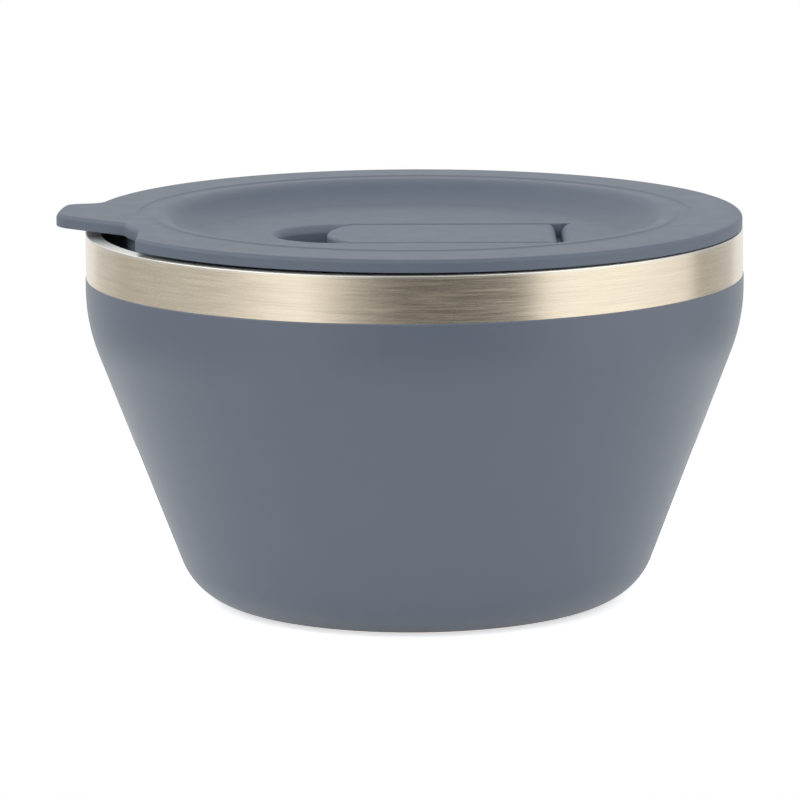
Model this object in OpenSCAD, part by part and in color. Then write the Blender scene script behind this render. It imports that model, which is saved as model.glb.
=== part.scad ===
// Double-walled steel bowl with a press-in lid and a hinged vent flap.
// Millimetres, +Z up. The origin is on the bowl's axis, on the plane that it stands on.
// The lid's pull tab points to -X. The vent flap's nose is on the tab's side, its hinge on the other.

/* [Bowl] */
// Outer diameter across the bare steel band
bowl_d = 140; // [132:1:180]
// Height of the rim above the table
bowl_h = 79.9; // [70:0.1:110]
// Height of the bare steel band below the rim
band_h = 9.8; // [6:0.1:11.5]
// Height of the straight wall below the rim
straight_h = 12.3; // [12:0.1:20]
// Radius of the shoulder between the straight wall and the cone
shoulder_r = 38; // [20:1:50]
// Slope of the cone from the vertical, in degrees
wall_slope = 20.8; // [12:0.1:24]
// Radius of the round edge at the base
base_round = 14; // [8:0.5:18]
// Thickness of the steel sheet
steel_t = 0.6; // [0.4:0.05:0.8]
// Width of the flat rim, which is also the whole thickness of the double wall
rim_w = 3.2; // [2.4:0.1:5]
// Radius of the rim's polished corners
rim_round = 0.25; // [0.2:0.05:0.5]
// Thickness of the powder coat
coat_t = 0.15; // [0.08:0.01:0.2]

/* [Inside] */
// Height of the liner's floor above the table
floor_z = 9; // [7:0.5:14]
// Radius between the liner's wall and its floor
floor_round = 14; // [8:0.5:18]

/* [Base] */
// Width of the flat ring that the bowl stands on
ring_w = 7.3; // [4:0.1:10]
// Overlap of the base plate on the standing ring
plate_lap = 4; // [2:0.1:5]
// Radius of the dimple around the pumping hole
dimple_r = 5; // [4:0.1:8]
// Depth of that dimple
dimple_depth = 1.4; // [0.8:0.1:2]
// Radius of the pumping hole
pump_r = 1; // [0.6:0.1:1.5]
// Radius of the solder bead in the dimple
bead_r = 3.5; // [2.5:0.1:3.8]
// Thickness of the solder bead
bead_t = 0.7; // [0.4:0.1:0.8]
// Thickness of the base cover
cover_t = 0.4; // [0.3:0.05:0.5]
// Gap around the base cover
cover_gap = 0.3; // [0.1:0.05:0.6]
// Diameter of the getter pill
getter_d = 9; // [6:0.5:12]
// Height of the getter pill
getter_h = 1.6; // [1:0.1:2.5]
// Distance of the getter's middle from the inner edge of the standing ring
getter_inset = 12; // [10:0.5:14]
// Least gap between the getter and the dimple's wall
getter_gap = 0.5; // [0.2:0.1:2]
// Width of the getter's strap
clip_w = 4; // [2:0.5:6]
// Thickness of the getter's strap
clip_t = 0.3; // [0.2:0.05:0.5]
// Length of each foot of the getter's strap
clip_foot = 3; // [2:0.5:4]

/* [Lid] */
// How far the lid's edge stays inside the bowl's edge
lid_inset = 0.3; // [0.3:0.1:1.5]
// Thickness of the flange at its edge
flange_t = 2.7; // [2.4:0.1:4]
// Thickness of the lid's other walls
lid_t = 2.2; // [1.8:0.1:2.4]
// Round along the flange's top edge
flange_top_round = 0.9; // [0.4:0.1:1.2]
// Round along the flange's lower edge
flange_low_round = 0.3; // [0.2:0.1:0.8]
// Width of the flat flange outside the ring groove
flange_w = 10.5; // [8:0.1:12]
// Width of the ring groove
ring_groove_w = 3.4; // [2:0.1:4]
// Depth of the ring groove
ring_groove_depth = 0.25; // [0.2:0.05:0.8]
// Slope width of each side of the ring groove
ring_groove_side = 0.5; // [0.1:0.05:0.6]
// Width of the land between the ring groove and the dish
land_w = 0.8; // [0.4:0.1:2]
// Depth of the dish
dish_depth = 4.6; // [3.6:0.1:5.5]
// Width of the dish's sloping wall
dish_run = 11; // [9:0.5:13]
// Radius of the dish's upper edge
dish_edge_r = 5; // [3:0.5:7]
// Depth of the plug skirt below the flange
plug_h = 9.5; // [8.5:0.1:10]
// Gap between the plug skirt and the bowl's mouth
plug_gap = 5.3; // [4:0.1:6]
// Gap between the flange and the rim on the side that is pressed in
lid_gap = 0.2; // [0.1:0.05:0.6]
// Tilt of the lid, tab side up, in degrees
lid_tilt = 0.3; // [0:0.05:0.6]
// Play of the lid in the mouth, away from the tab
lid_shift = 0.15; // [0:0.05:0.6]
// Play of the lid in the mouth, towards the notch's side
lid_forward = 0.25; // [0:0.05:0.6]

/* [Pull tab] */
// Reach of the tab beyond the flange
tab_out = 6.7; // [4:0.1:14]
// Width of the tab's tip
tab_w = 16.6; // [8:0.1:20]
// Sideways offset of the tip's middle
tab_offset = 5.2; // [0:0.1:6]
// Radius of the tip's back corner
tab_back_corner = 3.5; // [1:0.1:4]
// Radius of the tip's front corner
tab_front_corner = 7; // [1:0.1:7.5]
// Slope of the tab's back edge, in degrees
tab_back_slope = 15; // [5:1:30]
// Slope of the tab's front edge, in degrees
tab_front_slope = 41.5; // [35:0.5:55]
// Radius where the back edge meets the flange
tab_fillet = 3.5; // [2:0.5:8]
// How deep the notch beside the tab cuts into the flange
notch_depth = 6.2; // [3:0.1:7]
// How far the notch's end wall lies inside the lid's edge, along X
notch_end = 11.9; // [9:0.1:16]
// Radius of the notch's outer corner
notch_corner = 1.2; // [0.5:0.1:2]

/* [Gasket] */
// Height of the gasket groove
gland_h = 3; // [2:0.1:4]
// Depth of the gasket groove
gland_depth = 1.1; // [0.6:0.1:1.2]
// Distance of the gasket groove below the flange
gland_drop = 4.4; // [3:0.1:5]
// Play of the gasket in its groove
gland_play = 0.05; // [0:0.01:0.2]
// How far the gasket's body stands out of its groove
gasket_body = 1.1; // [0.6:0.1:2]
// Thickness of each gasket lip
lip_t = 0.7; // [0.5:0.1:1]
// Rise of each gasket lip towards the bowl's wall
lip_rise = 0.6; // [0:0.1:1.2]
// Clearance of the gasket's lips to the bowl's wall
lip_gap = 0.15; // [0.1:0.05:0.4]

/* [Vent flap] */
// Distance of the hinge from the lid's axis
hinge_x = 28.5; // [22:0.1:30]
// Length of the flap from its hinge to its nose
flap_len = 47.3; // [36:0.1:50]
// Width of the flap
flap_w = 27.2; // [20:0.1:32]
// Thickness of the flap
flap_t = 2; // [1.6:0.1:2.6]
// Radius of the flap's rounded nose
nose_r = 20; // [18:0.5:40]
// Radius of the flap's hinge barrel
barrel_r = 1.7; // [1.4:0.05:2.1]
// Radius of the trunnions that the flap turns on
trunnion_r = 1; // [0.7:0.05:1.2]
// How far each trunnion reaches into its socket
trunnion_reach = 1.2; // [0.8:0.1:1.6]
// Running clearance around each trunnion
trunnion_play = 0.08; // [0.03:0.01:0.1]
// Gap between the flap and the sides of its well
flap_gap = 0.7; // [0.4:0.1:1.5]
// Gap between the hinge barrel and the end of the well
hinge_gap = 1.2; // [0.8:0.1:2]
// Round of the well's end beside the hinge
well_shoulder = 2.4; // [1:0.1:2.8]
// Clear depth under the flap
under_flap = 1; // [0.8:0.1:1.6]
// Thickness of the well's walls
well_wall = 2.6; // [2:0.1:3.5]
// Thickness of the well's floor under its deepest place
well_floor = 1.4; // [1:0.1:2]
// Clearance of the hinge barrel in its trough
trough_gap = 0.4; // [0.3:0.05:0.6]
// Length of the finger scoop beyond the flap's nose
scoop_len = 12.3; // [8:0.1:13]
// Depth of the finger scoop below the dish floor
scoop_depth = 5.5; // [4.5:0.1:6]
// Radius of the finger scoop's soft lip
scoop_lip = 2; // [1.5:0.1:4]
// Radius between the finger scoop's wall and its floor
scoop_round = 1.5; // [0.5:0.1:1.5]
// Distance of the vent hole from the hinge
vent_reach = 27; // [12:0.5:30]
// Radius of the vent hole
vent_r = 4.4; // [3:0.1:6]
// Clearance of the stopper in the vent hole
stopper_play = 0.25; // [0.2:0.05:0.5]
// Width of the stopper's seat around the vent hole
stopper_seat = 1.4; // [0.8:0.1:2.5]
// Clearance of the stopper's seat over the well's floor
stopper_lift = 0.1; // [0.05:0.05:0.3]
// Length of the stopper inside the vent hole
stopper_len = 1.8; // [1:0.1:2]
// Radius of the stud that holds the stopper in the flap
stud_r = 2.2; // [1.5:0.1:3]
// Length of that stud
stud_len = 1.1; // [0.6:0.1:1.3]

/* [Hidden] */
$fn = 96;
// Small overshoot of a cutting shape past the face that it cuts
cut = 1;
// A round that runs into an edge or a face crosses it by this much, in place of only touching it
cross_over = 0.1;
// Slope at which the scoop's lip leaves the dish floor, in degrees
lip_start = 10;
// Steps along the drawn arcs
shoulder_steps = 10;
round_steps = 14;
corner_steps = 6;

// Bowl: radii and heights along the outer wall
bowl_r = bowl_d / 2;
mouth_r = bowl_r - rim_w;
straight_z = bowl_h - straight_h;
band_z = bowl_h - band_h;
cone_top_r = bowl_r - shoulder_r * (1 - cos(wall_slope));
cone_top_z = straight_z - shoulder_r * sin(wall_slope);
cone_low_z = base_round * (1 - sin(wall_slope));
cone_low_r = cone_top_r - (cone_top_z - cone_low_z) * tan(wall_slope);
foot_r = cone_low_r - base_round * cos(wall_slope);
ring_r = foot_r - ring_w;
// The getter goes with the standing ring, and stays clear of the dimple in a narrow base
getter_x = max(ring_r - getter_inset, dimple_r + steel_t + getter_gap + getter_d / 2);
// The coat stops on the base's round, a little above the table
coat_end = asin((base_round - coat_t) / (base_round + coat_t));

// Liner: the centre of the round between its cone and its floor
liner_reach = rim_w + floor_round;
liner_z = floor_z + floor_round;
liner_drop = cone_top_z + liner_reach * sin(wall_slope) - liner_z;
liner_x = cone_top_r - liner_reach * cos(wall_slope) - liner_drop * tan(wall_slope);

// Lid: radii from its edge inwards, heights from the flange's underside
lid_r = bowl_r - lid_inset;
groove_out_r = lid_r - flange_w;
groove_in_r = groove_out_r - ring_groove_w;
dish_edge = groove_in_r - land_w;
dish_floor_r = dish_edge - dish_run;
dish_z = flange_t - dish_depth;
dish_angle = 2 * atan(dish_depth / dish_run);
dish_floor_round = dish_run / sin(dish_angle) - dish_edge_r;
plug_r = mouth_r - plug_gap;
gland_top = -gland_drop;
gland_low = gland_top - gland_h;
notch_r = lid_r - notch_depth;
notch_x = -(lid_r - notch_end);
lid_z = bowl_h + lid_gap + lid_r * sin(lid_tilt);

// Vent flap and its well, in the lid's frame
hinge_z = dish_z - barrel_r;
nose_x = hinge_x - flap_len;
well_half = flap_w / 2 + flap_gap;
well_end = hinge_x + barrel_r + hinge_gap;
well_tip = nose_x - scoop_len;
scoop_x = well_tip + well_half;
well_z = dish_z - flap_t - under_flap;
well_low = min(well_z, hinge_z - barrel_r - trough_gap) - well_floor;
// The well's walls end half way through the dish floor
well_top = dish_z - lid_t / 2;
// The scoop's wall is upright below its lip, and a round leads from there to its floor
scoop_wall = well_half - scoop_lip;
scoop_centre = [scoop_wall - scoop_round, dish_z - scoop_depth + scoop_round];
vent_x = hinge_x - vent_reach;

function arc(centre, r, from, to, steps) =
    [for (i = [0 : steps]) let (a = from + (to - from) * i / steps) centre + r * [cos(a), sin(a)]];

function reversed(points) = [for (i = [len(points) - 1 : -1 : 0]) points[i]];

function rest(points) = [for (i = [1 : len(points) - 1]) points[i]];

// The bowl's wall from the shoulder to the coat's lower end, moved inwards
function wall(inwards) = concat(
    arc([bowl_r - shoulder_r, straight_z], shoulder_r - inwards, 0, -wall_slope, shoulder_steps),
    arc([foot_r, base_round], base_round - inwards, -wall_slope, -coat_end, round_steps));

// The last stretch of the base's round, down to the table
function foot(inwards) =
    rest(arc([foot_r, base_round], base_round - inwards, -coat_end, -90, corner_steps));

// The liner's wall from the shoulder to the middle of its floor; inwards is rim_w on its inner face
function liner(inwards) = concat(
    arc([bowl_r - shoulder_r, straight_z], shoulder_r - inwards, 0, -wall_slope, shoulder_steps),
    arc([liner_x, liner_z], liner_reach - inwards, -wall_slope, -90, round_steps),
    [[0, liner_z - liner_reach + inwards]]);

// The lid's dish from the middle of its floor to its edge; below is the distance under the visible face
function dish(below) = concat(
    [[0, dish_z - below]],
    arc([dish_floor_r, dish_z + dish_floor_round], dish_floor_round + below,
        -90, dish_angle - 90, round_steps),
    rest(arc([dish_edge, flange_t - dish_edge_r], dish_edge_r - below, 90 + dish_angle, 90, round_steps)));

module lathe(points) {
    rotate_extrude() polygon(points);
}

// Puts a piece of the lid where the lid lies in the bowl's mouth
module on_bowl() {
    translate([lid_shift, -lid_forward, lid_z]) rotate([0, lid_tilt, 0]) children();
}

// A bar along Y through a point of the lid's XZ plane
module bar_y(x, z, r, length) {
    translate([x, 0, z]) rotate([90, 0, 0]) cylinder(r = r, h = length, center = true);
}

module outer_shell() {
    seat_z = bowl_h - steel_t;
    color("#c9c3b8")
    lathe(concat(
        [[bowl_r, seat_z]], wall(0), foot(0),
        [[ring_r, 0], [ring_r, steel_t]],
        reversed(foot(steel_t)), reversed(wall(steel_t)), [[bowl_r - steel_t, seat_z]]));
}

module powder_coat() {
    color("#6c737f")
    lathe(concat([[bowl_r + coat_t, band_z]], wall(-coat_t), reversed(wall(0)), [[bowl_r, band_z]]));
}

module inner_bowl() {
    corner_z = bowl_h - rim_round;
    color("#d8d6d2")
    lathe(concat(
        [[bowl_r, bowl_h - steel_t]],
        arc([bowl_r - rim_round, corner_z], rim_round, 0, 90, corner_steps),
        arc([mouth_r + rim_round, corner_z], rim_round, 90, 180, corner_steps),
        liner(rim_w), reversed(liner(rim_w - steel_t)),
        [[mouth_r + steel_t, bowl_h - steel_t]]));
}

module base_plate() {
    color("#b9b7b2")
    lathe([
        [pump_r, steel_t + dimple_depth], [dimple_r, steel_t + dimple_depth], [dimple_r, steel_t],
        [ring_r + plate_lap, steel_t], [ring_r + plate_lap, 2 * steel_t], [dimple_r + steel_t, 2 * steel_t],
        [dimple_r + steel_t, 2 * steel_t + dimple_depth], [pump_r, 2 * steel_t + dimple_depth]]);
}

module vacuum_seal() {
    top = 2 * steel_t + dimple_depth;
    seat = steel_t + dimple_depth;
    color("#8f9296")
    lathe([[0, seat - bead_t], [bead_r - bead_t, seat - bead_t], [bead_r, seat], [pump_r, seat],
           [pump_r, top], [0, top]]);
}

module getter() {
    color("#5d5f63")
    translate([getter_x, 0, 2 * steel_t]) cylinder(d = getter_d, h = getter_h);
}

module getter_clip() {
    span = getter_d + 2 * clip_t;
    color("#a8a9ab")
    translate([getter_x, 0, 2 * steel_t])
    rotate([90, 0, 90]) translate([0, 0, -clip_w / 2]) linear_extrude(clip_w)
    difference() {
        union() {
            translate([-span / 2, 0]) square([span, getter_h + clip_t]);
            translate([-span / 2 - clip_foot, 0]) square([span + 2 * clip_foot, clip_t]);
        }
        translate([-getter_d / 2, -cut]) square([getter_d, getter_h + cut]);
    }
}

module base_cover() {
    color("#bdbbb6")
    translate([0, 0, steel_t - cover_t]) cylinder(r = ring_r - cover_gap, h = cover_t);
}

// The lid's turned form: dish, ring groove, flange and plug skirt
module lid_turned() {
    skirt_in = plug_r - lid_t;
    lathe(concat(
        dish(0),
        [[groove_in_r, flange_t],
         [groove_in_r + ring_groove_side, flange_t - ring_groove_depth],
         [groove_out_r - ring_groove_side, flange_t - ring_groove_depth],
         [groove_out_r, flange_t]],
        arc([lid_r - flange_top_round, flange_t - flange_top_round], flange_top_round, 90, 0, corner_steps),
        arc([lid_r - flange_low_round, flange_low_round], flange_low_round, 0, -90, corner_steps),
        [[plug_r, 0], [plug_r, gland_top], [plug_r - gland_depth, gland_top],
         [plug_r - gland_depth, gland_low], [plug_r, gland_low], [plug_r, -plug_h], [skirt_in, -plug_h],
         [skirt_in, flange_t - lid_t]],
        reversed(dish(lid_t))));
}

// Where a line that starts outside a circle round the lid's axis first meets it
function meet(start, along, r) =
    let (reach = -start * along) start + (reach - sqrt(reach * reach - start * start + r * r)) * along;

// Direction of a point from the lid's axis, from 0 to 360 degrees
function bearing(point) = (atan2(point[1], point[0]) + 360) % 360;

// The tab's outline: a tip that runs round the lid's axis, two sloping edges with round corners, and the
// round where the back edge meets the flange
module tab_outline() {
    tip_r = lid_r + tab_out;
    back = [-tip_r, tab_offset + tab_w / 2];
    front = [-tip_r, tab_offset - tab_w / 2];
    along_back = [cos(tab_back_slope), sin(tab_back_slope)];
    along_front = [cos(tab_front_slope), -sin(tab_front_slope)];
    off_back = [-along_back[1], along_back[0]];
    off_front = [along_front[1], -along_front[0]];
    // Both edges run on into the flange, past the ring where the tab's inner end is trimmed
    back_root = meet(back, along_back, notch_r - 2 * cut);
    front_root = meet(front, along_front, notch_r - 2 * cut);
    back_corner = meet(back - tab_back_corner * off_back, along_back, tip_r - tab_back_corner);
    front_corner = meet(front - tab_front_corner * off_front, along_front, tip_r - tab_front_corner);
    fillet = meet(back + tab_fillet * off_back, along_back, lid_r + tab_fillet - cross_over);
    polygon(concat(
        arc(back_corner, tab_back_corner, bearing(back_corner), 90 + tab_back_slope, corner_steps),
        arc(fillet, tab_fillet, 270 + tab_back_slope, bearing(fillet) + 180, corner_steps),
        [back_root, front_root],
        arc(front_corner, tab_front_corner, 270 - tab_front_slope, bearing(front_corner), corner_steps),
        rest(arc([0, 0], tip_r, bearing(front_corner), bearing(back_corner), corner_steps))));
}

// What the notch beside the tab takes out of the flange
module notch_outline() {
    low = -(lid_r + tab_out);
    corner_r = lid_r - notch_corner + cross_over;
    corner_y = -sqrt(pow(corner_r, 2) - pow(notch_x + notch_corner, 2));
    corner = [notch_x + notch_corner, corner_y];
    outside = corner * lid_r / corner_r;
    difference() {
        translate([low, low]) square([notch_x - low, -low]);
        circle(notch_r);
    }
    difference() {
        polygon([[notch_x - cut, corner_y], [notch_x, corner_y], outside, outside * (lid_r + cut) / lid_r,
                 [notch_x - cut, outside[1] - cut]]);
        translate(corner) circle(notch_corner);
    }
}

// The outside of the well: a round end at the scoop and a square end at the hinge
module well_outline() {
    half = well_half + well_wall;
    translate([scoop_x, 0]) circle(half);
    translate([scoop_x, -half]) square([well_end + well_wall - scoop_x, 2 * half]);
}

// The flap's outline with a round nose, grown by some gap, up to a square end
module flap_outline(gap, end_x) {
    half = flap_w / 2 + gap;
    intersection() {
        translate([nose_x - gap, -half]) square([end_x - nose_x + gap, 2 * half]);
        translate([nose_x + nose_r, 0]) union() {
            circle(nose_r + gap);
            translate([0, -half]) square([end_x - nose_x, 2 * half]);
        }
    }
}

// The recess that the flap lies in, with its hinge trough and its rounded end
module well_space() {
    translate([0, 0, well_z]) linear_extrude(dish_z - well_z + cut) flap_outline(flap_gap, well_end);
    bar_y(hinge_x, hinge_z, barrel_r + trough_gap, 2 * well_half);
    bar_y(hinge_x, hinge_z, trunnion_r + trunnion_play,
          flap_w + 2 * (flap_gap + trunnion_reach + trunnion_play));
    rotate([90, 0, 0]) linear_extrude(2 * well_half, center = true)
    difference() {
        translate([well_end - cut, dish_z - well_shoulder]) square(well_shoulder + cut);
        translate([well_end + well_shoulder, dish_z - well_shoulder]) circle(well_shoulder);
    }
}

// The hollow for a fingertip, beside and under the flap's nose, with a soft lip
module scoop_space() {
    lip = arc([well_half, dish_z - scoop_lip], scoop_lip, 180, 90 + lip_start, corner_steps);
    edge = lip[corner_steps];
    edge_r = edge[0] + (dish_z + cross_over - edge[1]) / tan(lip_start);
    translate([scoop_x, 0, 0])
    lathe(concat(
        [[0, dish_z - scoop_depth]], arc(scoop_centre, scoop_round, -90, 0, corner_steps), rest(lip),
        [[edge_r, dish_z + cross_over], [edge_r, dish_z + cut], [0, dish_z + cut]]));
}

// The underside of that hollow
module scoop_back() {
    translate([scoop_x, 0, 0])
    lathe(concat(
        [[0, dish_z - scoop_depth - lid_t]], arc(scoop_centre, scoop_round + lid_t, -90, 0, corner_steps),
        [[scoop_wall + lid_t, well_top], [0, well_top]]));
}

module lid_cover() {
    color("#808893")
    on_bowl()
    difference() {
        union() {
            difference() {
                lid_turned();
                translate([0, 0, -cut]) linear_extrude(flange_t + 2 * cut) notch_outline();
            }
            difference() {
                linear_extrude(flange_t) tab_outline();
                translate([0, 0, -cut]) cylinder(r = notch_r - cut, h = flange_t + 2 * cut);
            }
            translate([0, 0, well_low]) linear_extrude(well_top - well_low) well_outline();
            scoop_back();
        }
        well_space();
        scoop_space();
        translate([vent_x, 0, well_low - cut]) cylinder(r = vent_r, h = well_z - well_low + 2 * cut);
    }
}

// One lip of the gasket, drawn past the bowl's wall and trimmed there
module gasket_lip(z) {
    start = plug_r + gasket_body;
    lathe([[start - gasket_body / 2, z], [mouth_r + cut, z + lip_rise],
           [mouth_r + cut, z + lip_rise + lip_t], [start - gasket_body / 2, z + lip_t]]);
}

module lid_gasket() {
    inner = plug_r - gland_depth + gland_play;
    low = gland_low + gland_play;
    high = gland_top - gland_play;
    color("#d9dcdf")
    on_bowl()
    union() {
        lathe([[inner, low], [plug_r + gasket_body, low], [plug_r + gasket_body, high], [inner, high]]);
        intersection() {
            union() {
                gasket_lip(low);
                gasket_lip(high - lip_t);
            }
            translate([-lid_shift, lid_forward, -plug_h]) cylinder(r = mouth_r - lip_gap, h = plug_h);
        }
    }
}

module vent_flap() {
    color("#838b96")
    on_bowl()
    difference() {
        union() {
            translate([0, 0, dish_z - flap_t]) linear_extrude(flap_t) flap_outline(0, hinge_x);
            bar_y(hinge_x, hinge_z, barrel_r, flap_w);
            bar_y(hinge_x, hinge_z, trunnion_r, flap_w + 2 * (flap_gap + trunnion_reach));
        }
        translate([vent_x, 0, dish_z - flap_t - cut]) cylinder(r = stud_r, h = stud_len + cut);
    }
}

module vent_stopper() {
    under = dish_z - flap_t;
    seat = well_z + stopper_lift;
    plug = vent_r - stopper_play;
    tip = well_z - stopper_len;
    color("#d9dcdf")
    on_bowl()
    translate([vent_x, 0, 0])
    lathe([[0, tip], [plug - stopper_play, tip], [plug, tip + stopper_len / 2], [plug, seat],
           [vent_r + stopper_seat, seat], [vent_r + stopper_seat, under], [stud_r, under],
           [stud_r, under + stud_len], [0, under + stud_len]]);
}

outer_shell();
powder_coat();
inner_bowl();
base_plate();
vacuum_seal();
getter();
getter_clip();
base_cover();
lid_cover();
lid_gasket();
vent_flap();
vent_stopper();
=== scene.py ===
"""Looks of the insulated bowl with its lid: rounded forms, finishes, floor, light and camera."""
import math

import bpy
from mathutils import Matrix, Vector


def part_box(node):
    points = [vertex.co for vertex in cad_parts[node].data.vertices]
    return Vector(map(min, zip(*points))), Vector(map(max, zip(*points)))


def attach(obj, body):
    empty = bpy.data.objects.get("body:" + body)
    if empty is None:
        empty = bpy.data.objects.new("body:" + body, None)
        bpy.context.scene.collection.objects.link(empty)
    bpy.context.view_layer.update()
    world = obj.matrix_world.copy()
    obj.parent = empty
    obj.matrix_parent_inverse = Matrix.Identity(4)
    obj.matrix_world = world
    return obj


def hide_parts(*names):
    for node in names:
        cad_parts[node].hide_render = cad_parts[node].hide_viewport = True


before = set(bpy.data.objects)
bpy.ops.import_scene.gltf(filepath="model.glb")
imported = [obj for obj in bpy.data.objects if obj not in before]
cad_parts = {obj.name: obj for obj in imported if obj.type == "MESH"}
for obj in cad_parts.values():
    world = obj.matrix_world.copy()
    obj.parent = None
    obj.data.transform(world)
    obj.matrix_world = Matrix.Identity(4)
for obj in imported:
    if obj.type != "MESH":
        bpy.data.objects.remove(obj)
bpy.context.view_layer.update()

MM = 0.001
# Distance under which two vertices are one
WELD = 0.002 * MM
# Steps of a full turn on the large pieces and on the small ones
TURN_STEPS = 256
SMALL_STEPS = 96
SCOOP_STEPS = 128
# Steps of the drawn arcs, from small rounds to the flange's edge
SEAT_STEPS = 4
COVER_STEPS = 5
CORNER_STEPS = 6
RIM_STEPS = 8
LIP_STEPS = 10
FILLET_STEPS = 10
ROUND_STEPS = 12
SCOOP_LIP_STEPS = 14
DISH_EDGE_STEPS = 16
NOTCH_STEPS = 16
DISH_STEPS = 20
WALL_STEPS = 24
LINER_STEPS = 32
NOSE_STEPS = 40
BARREL_STEPS = 40
WELL_STEPS = 48
FLANGE_STEPS = 320
# Slices along the flap's width, and insets that round off an edge
FLAP_SLICES = 48
FLAP_INSETS = 5
FLANGE_INSETS = 7

# Bowl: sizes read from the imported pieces, then the driving sizes of the part
bowl_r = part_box("outer_shell")[1].x
rim_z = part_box("inner_bowl")[1].z
band_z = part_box("powder_coat")[1].z
cover_low, cover_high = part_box("base_cover")
straight_h = 12.3 * MM
shoulder_r = 38 * MM
wall_slope = 20.8
base_round = 14 * MM
steel_t = 0.6 * MM
rim_w = 3.2 * MM
rim_round = 0.25 * MM
coat_t = 0.15 * MM
coat_lip = 0.3 * MM
floor_z = 9 * MM
floor_round = 14 * MM
ring_w = 7.3 * MM
# Base cover: its rolled edge, and a pressed ring at a share of its radius
cover_round = 0.15 * MM
press_share = 0.72
press_w = 1.2 * MM
press_depth = 0.15 * MM

# Lid: sizes in the lid's own frame, heights from the flange's underside
lid_inset = 0.3 * MM
lid_r = bowl_r - lid_inset
flange_t = 2.7 * MM
lid_t = 2.2 * MM
flange_top_round = 0.9 * MM
flange_low_round = 0.3 * MM
flange_w = 10.5 * MM
ring_groove_w = 3.4 * MM
groove_out_r = lid_r - flange_w
groove_in_r = groove_out_r - ring_groove_w
ring_groove_depth = 0.25 * MM
ring_groove_side = 0.5 * MM
ring_groove_round = 0.2 * MM
land_w = 0.8 * MM
dish_edge = groove_in_r - land_w
dish_run = 11 * MM
dish_depth = 4.6 * MM
dish_edge_r = 5 * MM
plug_h = 9.5 * MM
mouth_r = bowl_r - rim_w
plug_gap = 5.3 * MM
plug_r = mouth_r - plug_gap
plug_round = 0.5 * MM
gland_top = -4.4 * MM
gland_h = 3 * MM
gland_depth = 1.1 * MM
gland_play = 0.05 * MM
lid_tilt = math.radians(0.3)
lid_shift = 0.15 * MM
lid_forward = 0.25 * MM
lid_gap = 0.2 * MM
lid_z = rim_z + lid_gap + lid_r * math.sin(lid_tilt)
# Radius where the turned middle of the lid meets its flange
join_r = 62 * MM

# Pull tab and the notch beside it
tab_out = 6.7 * MM
tab_w = 16.6 * MM
tab_offset = 5.2 * MM
tab_back_corner = 3.5 * MM
tab_front_corner = 7 * MM
tab_back_slope = 15
tab_front_slope = 41.5
tab_fillet = 3.5 * MM
notch_depth = 6.2 * MM
notch_reach = 11.9 * MM
notch_r = lid_r - notch_depth
notch_x = -(lid_r - notch_reach)
notch_corner = 1.2 * MM

# Gasket
gasket_body = 1.1 * MM
lip_t = 0.7 * MM
lip_rise = 0.6 * MM
lip_gap = 0.2 * MM

# Vent flap and its well
dish_z = flange_t - dish_depth
hinge_x = 28.5 * MM
flap_len = 47.3 * MM
flap_w = 27.2 * MM
flap_t = 2 * MM
flap_round = 0.8 * MM
nose_r = 20 * MM
barrel_r = 1.7 * MM
trunnion_r = 1 * MM
trunnion_reach = 1.2 * MM
trunnion_play = 0.08 * MM
trunnion_chamfer = 0.25 * MM
flap_gap = 0.7 * MM
hinge_gap = 1.2 * MM
well_shoulder = 2.4 * MM
well_lip = 0.35 * MM
well_depth = 3 * MM
well_wall = 2.6 * MM
well_floor = 1.4 * MM
trough_gap = 0.4 * MM
scoop_len = 12.3 * MM
scoop_depth = 5.5 * MM
scoop_lip = 2 * MM
scoop_round = 1.5 * MM
vent_reach = 27 * MM
vent_r = 4.4 * MM
stopper_play = 0.25 * MM
stopper_seat = 1.4 * MM
stopper_lift = 0.1 * MM
stopper_len = 1.8 * MM
stopper_tip_round = 0.6 * MM
stopper_seat_round = 0.2 * MM
stud_r = 2.2 * MM
stud_len = 1.1 * MM
# A rounded lip starts at this slope, so that it leaves the dish floor at a clean line, and runs this high
LIP_START = 12
LIP_FLARE = 0.1 * MM
# How far a cutting shape goes past the face that it cuts
cut = 1 * MM
UP, DOWN, FRONT = Vector((0, 0, 1)), Vector((0, 0, -1)), Vector((0, -1, 0))

# Studio: a round floor
FLOOR_R = 190 * MM
FLOOR_COLOUR = (0.9, 0.9, 0.9, 1)
# Lift of the floor to white, as the eye and clear things see it and as metal mirrors it
FLOOR_LIFT = 0.6
FLOOR_LIFT_MIRRORED = 0.4
# Rings of light round the room, as (degrees to the right of the camera, level)
LOW_LIGHT = [(-180, 0.8), (-150, 0.8), (-130, 0.7), (-122, 0.6), (-100, 0.65), (-74, 0.7), (-62, 0.9),
             (-50, 1.2), (-39, 1.35), (-30, 0.95), (-22, 0.55), (-12, 0.26), (-4, 0.13), (20, 0.13),
             (34, 0.25), (40, 0.5), (46, 1.2), (54, 1.36), (80, 1.4), (110, 1.15), (117, 0.55),
             (150, 0.75), (180, 0.8)]
HIGH_LIGHT = [(-180, 0.4), (-130, 1.2), (-85, 2.8), (-45, 2.5), (0, 1.1), (60, 2.8), (120, 0.8),
              (180, 0.4)]
TOP_LIGHT = 0.56
# Heights, as the sine of the angle above the floor, between which each light gives way to the one above it
HIGH_FROM, HIGH_FULL = 0.2, 0.45
TOP_FROM, TOP_FULL = 0.65, 0.9
# The white backdrop behind the bowl starts this many degrees to the side
BACKDROP_FROM = 148
# Camera: place, sensor and lens in millimetres, pitch down, yaw and roll in degrees, and sight in metres
CAMERA_AT = Vector((0, -1213.33, 253.36)) * MM
CAMERA_SENSOR = 36
CAMERA_LENS = 258.58
CAMERA_TURN = (9.8607, 0.157, -0.465)
CAMERA_SIGHT = 20

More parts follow.
